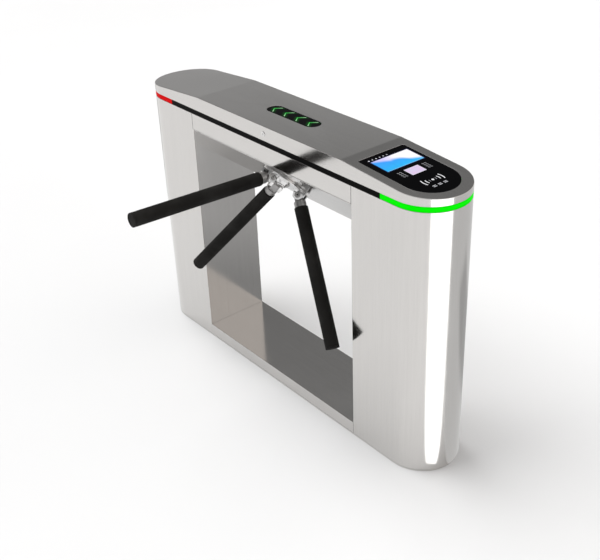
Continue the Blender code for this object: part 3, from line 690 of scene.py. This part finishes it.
def chevron_light():
    """Green at the bend of each chevron, paler towards the ends of its arms."""
    look = Look("chevron_light")
    out = look.span(look.math("ABSOLUTE", look.axes()[1]), 0.003, CHEVRON_ARM[1], smooth=True)
    tone = look.mixed(out, (0.035, 0.60, 0.075), (0.42, 0.68, 0.42))
    level = look.span(look.noise(260.0, 2.0), 0.3, 0.7, 0.75, 1.0)
    return look.done(
        Base_Color=(0.02, 0.05, 0.02), Roughness=0.3, Specular_IOR_Level=0.1,
        Emission_Color=tone, Emission_Strength=level,
    )


def mark(name, outline, look, top=0.0001):
    """A thin lit inlay on the glass. top is its depth under the lid's face."""
    inlay = mesh_object(name, on_lid(outline, top, top + 0.0003))
    piece(inlay, look, "lid", evenly=False)


def direction_window():
    glass = black_glass("indicator_glass", chevron_glow)
    window_glass("indicator_lens", "indicator_pane", chevron_window, glass, 0.0005)
    green = chevron_light()
    back, out = CHEVRON_ARM
    for i, tip in enumerate(CHEVRONS):
        path = [(tip + back, -out), (tip, 0.0), (tip + back, out)]
        mark(f"chevron_{i + 1}", stroke(path, 0.0014), green, 0.0003)


def screen_picture():
    """A soft landscape: a pale sky over one blue wave."""
    look = Look("screen_picture")
    x, y, _ = look.axes()
    (x0, y0, _), (x1, y1, _) = SCREEN
    across, up = look.span(y, y0, y1), look.span(x, x1, x0)
    hump = look.math("SUBTRACT", 1.0, look.math("POWER", look.span(across, 0.38, 0.76, -1.0, 1.0), 2.0))
    shore = look.math("ADD", look.span(across, 0.0, 1.0, 0.98, 0.10), look.math("MULTIPLY", hump, 0.14))
    sky_share = look.span(look.math("SUBTRACT", up, shore), -0.12, 0.15, smooth=True)
    sky = look.mixed(look.span(across, 0.25, 0.62, smooth=True), (0.68, 0.62, 0.98), (1.0, 0.98, 1.0))
    sea = look.mixed(look.span(up, 0.0, 0.7), (0.015, 0.47, 0.92), (0.035, 0.36, 1.0))
    ripple = look.span(look.noise(70.0, 2.0), 0.3, 0.7, 0.96, 1.04)
    rim = look.span(up, 0.0, 0.035, 1.0, 0.0)
    picture = look.mixed(rim, look.mixed(sky_share, sea, sky), (0.30, 0.66, 0.95))
    return look.done(
        Base_Color=(0.01, 0.01, 0.012), Roughness=0.12, Specular_IOR_Level=0.15,
        Emission_Color=picture, Emission_Strength=ripple,
    )


def inset_box(node, left, right, near, far):
    """A node's box in plan, moved in by each margin: -X, +X, -Y and +Y."""
    low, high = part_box(node)
    return (low.x + left, low.y + near, 0.0), (high.x - right, high.y - far, 0.0)


SCREEN = inset_box("display_module", 0.0105, 0.0085, 0.0138, 0.0048)
SCANNER = inset_box("scanner_module", 0.0050, 0.0048, 0.0075, 0.0035)
CARD_X = sum(corner.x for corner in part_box("card_reader_board")) / 2


def status_marks():
    """Six small marks in a row along the panel's straight edge, fainter one by one."""
    x = SCREEN[0][0] - 0.0098
    for i in range(6):
        y = 0.0137 * i - 0.0635
        size, cut = ((0.0025, 0.9), (0.0021, 0.4))[i % 2]
        outline = rectangle(x - size, x + size, y - size, y + size, size * cut)
        light = lamp(f"status_light_{i + 1}", scaled((0.75, 0.74, 0.80), 1 - 0.09 * i), 1.0)
        mark(f"status_mark_{i + 1}", outline, light)


def label_bars(card_x, pale, grey):
    """Short plain bars in place of the panel's small texts."""
    for i in range(3):
        y = 0.0207 * (i - 1) - 0.0018
        for row in (-1, 1):
            x = card_x + 0.0292 + 0.0027 * row
            bar = stroke([(x, y - 0.0050), (x, y + 0.0050)], 0.0014)
            mark(f"card_label_bar_{2 * i + (row + 3) // 2}", bar, pale)
    for side, y in (("near", SCANNER[0][1] - 0.0205), ("far", SCANNER[1][1] + 0.0215)):
        for i in range(8):
            x = SCANNER[0][0] + 0.0030 + 0.0082 * (i // 2)
            bar_y = y + 0.0045 * (i % 2 * 2 - 1)
            bar = stroke([(x, bar_y - 0.0024), (x + 0.0035, bar_y + 0.0012)], 0.0011)
            mark(f"scanner_label_bar_{side}_{i + 1}", bar, grey)


def reader_panel():
    """Black glass with a screen, a code scanner's window, status marks and a card symbol."""
    window_glass("reader_glass", "reader_pane", reader_window, black_glass("reader_glass_black"), 0.0003)
    frame_top, lit_top = 0.0002, 0.00005  # depths of the frames, and of what shines within them
    (x0, y0, _), (x1, y1, _) = SCREEN
    rim = 0.0035
    navy = lamp("screen_border", (0.0030, 0.0045, 0.050), 1.0)
    border = rectangle(x0 - rim, x1 + rim, y0 - rim, y1 + rim, 0.001)
    mark("screen_border", border, navy, frame_top)
    mark("screen", rectangle(x0, x1, y0, y1, 0.0006), screen_picture(), lit_top)
    (x0, y0, _), (x1, y1, _) = SCANNER
    rim = 0.0012
    frame_light = lamp("scanner_rim", (0.86, 0.84, 0.90), 1.0)
    mark("scanner_rim", rectangle(x0, x1, y0, y1, 0.0010), frame_light, frame_top)
    lilac = lamp("scanner_light", (0.78, 0.60, 0.84), 0.95, (0.70, 0.66, 0.86))
    mark("scanner_window", rectangle(x0 + rim, x1 - rim, y0 + rim, y1 - rim), lilac, lit_top)
    white = lamp("symbol_white", (0.90, 0.90, 0.92), 1.0)
    grey = lamp("symbol_grey", (0.36, 0.36, 0.38), 1.0)
    card_x = CARD_X + 0.0025  # the symbol stands a little off its board's middle
    mark("card_symbol_dot", circle(card_x, 0, 0.0040, 20), white)
    waves = ((0.0355, 21, 0.0015, white), (0.0228, 19, 0.0013, white), (0.0120, 17, 0.0009, grey))
    for name, side in (("near", -90), ("far", 90)):
        for i, (r, spread, half, look) in enumerate(waves):
            path = arc(card_x, 0, r, side - spread, side + spread, 12)
            mark(f"card_symbol_{name}_{i + 1}", stroke(path, half), look)
    status_marks()
    label_bars(card_x, lamp("label_pale", (0.50, 0.50, 0.53), 1.0), grey)
    for node in ("display_module", "scanner_module"):
        refined(node, 0.0010, LOOKS["module"])


def components(name, spots, look):
    """Rounded blocks under a board, as one piece. spots are (x, y, half x, half y, height)."""
    under = GLASS + GAP + 0.0016  # depth of a board's lower face under the lid's face
    bm = bmesh.new()
    for x, y, half_x, half_y, tall in spots:
        outline = rectangle(x - half_x, x + half_x, y - half_y, y + half_y, 0.0004)
        part = plate(outline, 0.0, tall, place=lambda x, y, z: (x, y, lid_top(x) - under - z))
        mesh = bpy.data.meshes.new("part")
        part.to_mesh(mesh)
        part.free()
        bm.from_mesh(mesh)
        bpy.data.meshes.remove(mesh)
    piece(mesh_object(name, bm), look, "lid")


def boards():
    """Circuit boards under the lid, with chips and connectors on their lower faces."""
    for node in ("indicator_board", "card_reader_board"):
        refined(node, 0.0003, LOOKS["board"])
    spots = [(-0.085 + 0.034 * i, 0.009 * (-1) ** i, 0.006, 0.0045, 0.0016) for i in range(6)]
    components("indicator_board_chips", spots, LOOKS["chip"])
    components("indicator_board_connector", [(0.0, -0.018, 0.009, 0.003, 0.006)], LOOKS["connector"])
    spots = [
        (CARD_X - 0.018, -0.020, 0.007, 0.007, 0.0018),
        (CARD_X + 0.010, -0.012, 0.004, 0.003, 0.0014),
        (CARD_X + 0.012, 0.016, 0.005, 0.005, 0.0016),
    ]
    components("card_reader_board_chips", spots, LOOKS["chip"])
    spots = [(CARD_X - 0.022, 0.024, 0.003, 0.009, 0.006)]
    components("card_reader_board_connector", spots, LOOKS["connector"])


def lock():
    """A small cam lock: a chromed barrel with a rounded lip, and a plug with a keyway."""
    front, depth, bore, body, lip = -0.0016, 0.022, 0.0040, 0.0060, 0.0075
    profile = eased([(bore, front, 0.0003), (lip, front, 0.0008), (lip, -GAP, 0.0001), (body, -GAP, 0.0001),
                     (body, depth, 0.0005), (bore, depth, 0.0002)], 0.0002)
    barrel = mesh_object("lock_barrel_turned", turned(profile, 64, LOCK_TURN))
    piece(barrel, LOOKS["chrome"], "lid", ("lock_barrel",))
    plug = refined("lock_cam", 0.0002, LOOKS["chrome"])
    keyway = plate(rectangle(-0.0006, 0.0006, -0.0024, 0.0024, 0.0004), -0.003, 0.010,
                   place=lambda x, z, y: (LOCK[0] + x, LOCK[1] + y, LOCK[2] + z))
    cam_body = frame["nodes"]["lock_cam"]["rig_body"]
    combine(plug, "DIFFERENCE", mesh_object("keyway", keyway), cam_body)
    refined("lock_strike", 0.0004, LOOKS["zinc"])


def lid():
    lid_shell()
    direction_window()
    reader_panel()
    boards()
    lock()
    for node in ("hinge_frame_leaf", "hinge_lid_leaf"):
        refined(node, 0.0002, LOOKS["neck"])
    refined("hinge_pin", 0.0002, LOOKS["steel"])


# Hub and arms


def hub():
    """A chromed disc with a boss and three forks whose cheeks have rounded edges."""
    radius, face, boss, bore = 0.082, 0.0083, 0.018, 0.0125
    profile = eased([(bore, GAP, 0.0003), (radius, GAP, 0.0012), (radius, face, 0.0022),
                     (0.0245, face, 0.0012), (0.0195, boss, 0.0012), (bore, boss, 0.0004)], 0.001, 5)
    body = mesh_object("arm_hub_forged", turned(profile, 128, HUB_TURN))
    corners = ((-0.0165, None), (0.0195, None), (0.0195, -0.0020), (0.0117, 0.0117), (0.0, 0.0160),
               (-0.0117, 0.0117), (-0.0165, 0.0))  # of a cheek, from its pin; None is down in the disc
    _, reach, height = HUB_TURN.inverted() @ Vector(ARM_PINS[0])
    holes = [circle(reach, height, EYE_R), circle(reach - 0.002, face + 0.0038, 0.0026, 16)]
    outline = eased([(reach + y, face - 0.004 if z is None else height + z) for y, z in corners], 0.002)
    for k, turn in enumerate(ARM_TURNS):
        spin = HUB_TURN @ Matrix.Rotation(math.radians(-turn), 4, "Z")
        for side, inner, outer in ((-1, -0.0220, -0.0120), (1, 0.0120, 0.0220)):
            cheek = plate(outline, inner, outer, holes, lambda y, z, x: spin @ Vector((x, y, z)))
            tool = bevelled(mesh_object(f"fork_{k + 1}_cheek_{side + 2}", cheek), 0.0011, 3)
            combine(body, "UNION", tool, "hub")
    piece(body, LOOKS["chrome"], "hub", ("arm_hub",))
    low, inside = boss + GAP, 0.0125  # the cap's rim stands on the boss, and its plug ends in the bore
    profile = eased([(0.0120, inside), (0.0120, low, 0.0001), (0.0160, low, 0.0004), (0.0160, 0.0210, 0.0008),
                     (0.0130, 0.0228, 0.0010)], 0.0004)
    profile = [(0.0, inside), *profile, (0.006, 0.0234), (0.0, 0.0235)]
    cover = mesh_object("hub_cap_domed", turned(profile, 64, HUB_TURN))
    piece(cover, LOOKS["chrome"], "hub", ("hub_cap",))


def arm_frame(k):
    """Turns an arm's own axes (X along its pin, Z along the arm) into the world's."""
    spin = HUB_TURN.to_3x3() @ Matrix.Rotation(math.radians(-ARM_TURNS[k]), 3, "Z")
    turn = spin @ Matrix.Rotation(-ARM_TILT, 3, "X")
    return Matrix.Translation(ARM_PINS[k]) @ turn.to_4x4()


TUBE, SLEEVE = 0.019, 0.022  # outer radii of an arm's steel tube and foam sleeve
ARM_SEAM, ARM_TIP = 0.488, 0.494  # from the pin to where the end plug begins, and to its end


def arm_bar(name, place):
    """A steel tube and the tongue that hangs it on its pin, as one piece."""
    neck, floor_z, bore = 0.0175, 0.030, TUBE - 0.002
    profile = eased([(0.0, neck, 0.0), (TUBE, neck, 0.0016), (TUBE, ARM_SEAM, 0.0004),
                     (bore, ARM_SEAM, 0.0003), (bore, floor_z, 0.001), (0.0, floor_z, 0.0)], 0.001, 4)[5:-5]
    profile = [(0.0, neck), *profile, (0.0, floor_z)]
    bar = mesh_object(f"{name}_bar_turned", turned(profile, 64, place))
    r, half, root = 0.013, 0.0117, neck + 0.003
    eye = [(-r, root)] + arc(0, 0, r, 180, 360, 24) + [(r, root)]
    tongue = plate(eye, -half, half, [circle(0, 0, EYE_R)], lambda y, z, x: place @ Vector((x, y, z)))
    combine(bar, "UNION", bevelled(mesh_object(f"{name}_tongue", tongue), 0.0010, 3), name)
    piece(bar, LOOKS["neck"], name, (f"{name}_bar",))


def arm_foam(name, place):
    """A foam sleeve and the plug that closes its end."""
    start, bore = 0.036, TUBE + GAP
    profile = eased([(bore, start, 0.0006), (SLEEVE, start, 0.0028), (SLEEVE, ARM_SEAM - GAP, 0.0004),
                     (bore, ARM_SEAM - GAP, 0.0002)], 0.001, 5)
    grip = mesh_object(f"{name}_grip", turned(profile, 72, place))
    piece(grip, LOOKS["foam"], name, (f"{name}_sleeve",))
    r, low = TUBE - 0.0023, ARM_SEAM - 0.018
    profile = eased([(r, low, 0.001), (r, ARM_SEAM + GAP, 0.0002), (SLEEVE, ARM_SEAM + GAP, 0.0004),
                     (SLEEVE, ARM_TIP, 0.0032)], 0.001, 5)
    profile = [(0.0, low), *profile, (0.0, ARM_TIP)]
    plug = mesh_object(f"{name}_end_plug", turned(profile, 72, place))
    piece(plug, LOOKS["foam"], name, (f"{name}_end_cap",))


def arm_pin(name, place):
    """A pin with a head and a hexagon socket, with a black hexagon at the socket's floor: painted shade in
    the hole.
    """
    turn = place @ Matrix.Rotation(math.pi / 2, 4, "Y")
    head, end, head_r = -0.0223, 0.0240, 0.0090
    low = head - 0.003
    profile = eased([(head_r, low, 0.0010), (head_r, head, 0.0002), (PIN_R, head, 0.0002),
                     (PIN_R, end, 0.0010)], 0.0005)
    profile = [(0.0, low), *profile, (0.0, end)]
    pin = mesh_object(f"{name}_pin_turned", turned(profile, 48, turn))

    def hexagon(part, r, bottom, top):
        prism = plate(circle(0, 0, r, 6), bottom, top, place=lambda x, y, z: turn @ Vector((x, y, z)))
        return mesh_object(f"{name}_pin_{part}", prism)

    combine(pin, "DIFFERENCE", hexagon("socket", 0.0034, head - 0.004, head - 0.0004), "hub")
    piece(pin, LOOKS["steel"], "hub", (f"{name}_hinge_pin",))
    # A black hexagon at the socket's floor: painted shade in the hole.
    recess = hexagon("recess", 0.0033, head - 0.0016, head - 0.0005)
    piece(recess, LOOKS["trim"], "hub", evenly=False)


def arm(k):
    name, place = f"arm_{k + 1}", arm_frame(k)
    arm_bar(name, place)
    arm_foam(name, place)
    arm_pin(name, place)


# Mechanism


def mechanism():
    """Every piece inside the bridge, with its edges eased and its own finish."""
    steel = ("bearing_housing", "front_bearing", "rear_bearing", "main_shaft", "plunger_reader_side",
             "plunger_far_side", "centring_roller")
    hardened = ("index_cam", "lock_wheel", "lock_pawl_reader_side", "lock_pawl_far_side", "centring_lever")
    finishes = (
        ("zinc", "zinc_plate", 0.0005, ("mechanism_bracket", "mechanism_back_plate", "power_supply")),
        ("steel", "mill_steel", 0.0003, steel),
        ("dark_steel", "mill_steel", 0.0003, hardened),
        ("dark_steel", "mill_steel", 0.0, ("centring_spring",)),
        ("module", "module", 0.0004, ("controller_box", "encoder_sensor")),
        ("trim", "black_trim", 0.0002, ("encoder_disc",)),
        ("coil", "coil_brass", 0.0010, ("solenoid_reader_side", "solenoid_far_side")),
    )
    for look, slot, width, nodes in finishes:
        for node in nodes:
            refined(node, width, LOOKS[look])


# Studio. The steel takes its tones from what it reflects, so the lights are shaped for that.


OUT = (0.788, 0.616)  # over the floor, off the reader end and 38 degrees round to the rear


def stage_plane(name, corners, z, material, only_reflected=False):
    """A flat stage object, not part of the turnstile."""
    bm = bmesh.new()
    bm.faces.new([bm.verts.new((x, y, z)) for x, y in corners])
    obj = mesh_object(name, bm)
    obj.data.materials.append(material)
    if only_reflected:
        obj.visible_camera = obj.visible_diffuse = obj.visible_shadow = False
        obj.visible_transmission = obj.visible_volume_scatter = False


def floor():
    look = Look("studio_floor")
    tone = look.mixed(look.span(look.noise(0.8, 2.0), 0.3, 0.7), (0.744, 0.745, 0.747), (0.756, 0.757, 0.759))
    rough = look.span(look.noise(25.0, 3.0), 0.3, 0.7, 0.85, 0.95)
    material = look.done(Base_Color=tone, Roughness=rough, Specular_IOR_Level=0.1)
    far = 25.0
    stage_plane("floor", [(-far, -far), (far, -far), (far, far), (-far, far)], 0.0, material)


def outwards(nodes, x, y):
    """How far a place lies along OUT."""
    return nodes.math("ADD", nodes.math("MULTIPLY", x, OUT[0]), nodes.math("MULTIPLY", y, OUT[1]))


def glowing(name, level):
    """A plain glowing material. level(look) gives its brightness."""
    look = Look(name)
    look.tree.nodes.remove(look.shader)
    shader = look.add("ShaderNodeEmission", {"Strength": level(look)})
    look.tree.links.new(shader.outputs[0], look.tree.nodes["Material Output"].inputs["Surface"])
    return look.material


def reflected_cards():
    """A long lamp off the reader end and a grey card behind, both seen only in the steel."""
    strip = glowing("strip_light", lambda look: look.span(look.axes()[0], 0.7, 2.5, 1.9, 2.3))
    corners = [(0.705, -0.090), (0.716, -0.045), (4.0, 1.20), (4.0, -2.86)]
    stage_plane("strip_light", corners, 0.003, strip, only_reflected=True)

    def grey(look):
        """Light, with a darker lane running out from the far pillar's foot."""
        x, y, _ = look.axes()
        level, foot = 0.68, -0.395
        x = look.math("SUBTRACT", x, foot)
        along = outwards(look, x, y)
        across = look.math("SUBTRACT", look.math("MULTIPLY", x, OUT[1]), look.math("MULTIPLY", y, OUT[0]))
        lane = look.span(look.math("ABSOLUTE", across), 0.20, 0.42, 1.0, 0.0, True)
        lane = look.math("MULTIPLY", lane, look.span(along, 1.75, 2.05, 1.0, 0.0, True))
        dark = look.span(along, 0.33, 0.90, 0.30, 0.45)
        fall = look.math("MULTIPLY", lane, look.math("SUBTRACT", level, dark))
        return look.math("SUBTRACT", level, fall)

    corners = [(-4.0, 0.14), (0.60, 0.14), (0.70, 0.0), (4.0, 1.20), (4.0, 6.0), (-4.0, 6.0)]
    stage_plane("grey_card", corners, 0.002, glowing("grey_card", grey), only_reflected=True)


def sky():
    """A bright horizon and roof, and darker walls between them that are lighter off the reader end."""
    world = bpy.data.worlds.new("studio")
    world.use_nodes = True
    bpy.context.scene.world = world
    nodes = Nodes(world.node_tree, "Generated")
    x, y, z = nodes.axes()
    ramp = nodes.add("ShaderNodeValToRGB", {"Fac": z})
    strength = 1.2
    levels = ((0.0, 1.0), (0.08, 0.62), (0.16, 0.36), (0.25, 0.335), (0.33, 0.368), (0.42, 0.230),
              (0.48, 0.185), (0.56, 0.213), (0.66, 0.22), (0.82, 0.85))  # from the horizon to the roof
    elements = ramp.color_ramp.elements
    while len(elements) < len(levels):
        elements.new(0.5)
    for element, (position, level) in zip(elements, levels):
        element.position = position
        element.color = (level / strength,) * 3 + (1.0,)
    side = nodes.span(outwards(nodes, x, y), 0.25, 0.60, smooth=True)
    low = nodes.math("MULTIPLY", side, nodes.span(z, 0.70, 0.85, 1.0, 0.0, True))
    wall = tuple(level / strength for level in (0.84, 0.80, 0.77))
    background = world.node_tree.nodes["Background"]
    nodes.plug(nodes.mixed(low, ramp.outputs["Color"], wall), background.inputs["Color"])
    nodes.plug(strength, background.inputs["Strength"])


def lamps():
    """One soft sun that reflections don't see. It comes from over the far end, on the passage's side."""
    sun = bpy.data.lights.new("soft_key", "SUN")
    sun.energy = 2.70
    sun.angle = math.radians(56)
    obj = bpy.data.objects.new("soft_key", sun)
    towards = Vector((-0.50, -0.21, 0.84))
    obj.rotation_euler = towards.to_track_quat("Z", "Y").to_euler()
    obj.visible_glossy = False
    bpy.context.scene.collection.objects.link(obj)


def camera():
    """The camera that was fitted to the cabinet's edges and the arms in the photo."""
    lens = bpy.data.cameras.new("camera")
    lens.sensor_width = 36.0
    lens.lens = 59.08
    lens.clip_end = 100.0
    obj = bpy.data.objects.new("camera", lens)
    obj.location = (2.2605, -1.7851, 2.0438)
    tilt, roll, heading = 59.6815, 2.0296, 50.5342  # degrees
    obj.rotation_euler = [math.radians(a) for a in (tilt, roll, heading)]
    bpy.context.scene.collection.objects.link(obj)
    bpy.context.scene.camera = obj
    bpy.context.scene.view_settings.view_transform = "Standard"


camera()
sky()
lamps()
floor()
reflected_cards()
cabinet()
lid()
hub()
for k in range(3):
    arm(k)
mechanism()
